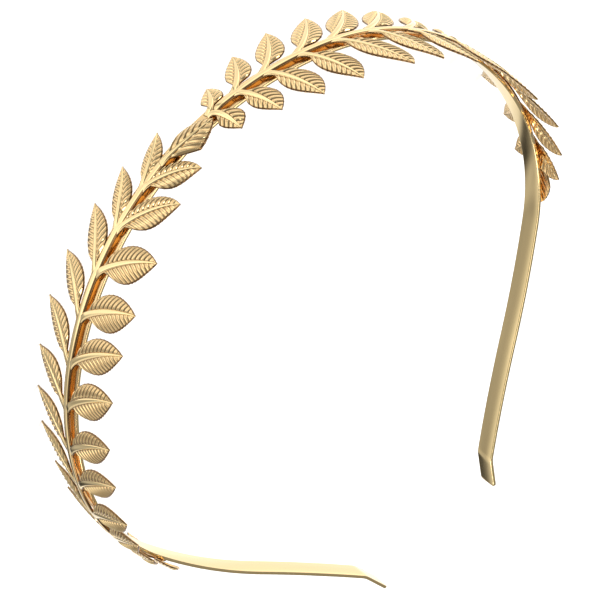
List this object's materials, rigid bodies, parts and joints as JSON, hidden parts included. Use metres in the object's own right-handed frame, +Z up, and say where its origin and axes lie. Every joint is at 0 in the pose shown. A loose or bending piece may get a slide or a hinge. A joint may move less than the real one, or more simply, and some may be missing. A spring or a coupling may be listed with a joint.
{
  "type": "laurel wreath headband crown",
  "caption": "Open headband crown of thin flat metal strip with stamped laurel sprays of veined leaves round its outside, worn over the head.",
  "frame": {"origin": "middle of the bounding box, on the surface that the crown lies on", "axes": "+Z up, away from the surface and square to the bend; -Y towards the middle of the band, +Y towards its two ends; +X towards the half that carries the rising spray"},
  "size_m": [0.1338, 0.1373, 0.0336],
  "materials": {
    "gold_strip": "polished",
    "gold_leaves": "polished"
  },
  "bodies": {
    "root": {"headband": "gold_strip", "rising_spray": "gold_leaves", "falling_spray": "gold_leaves"}
  },
  "joints": []
}
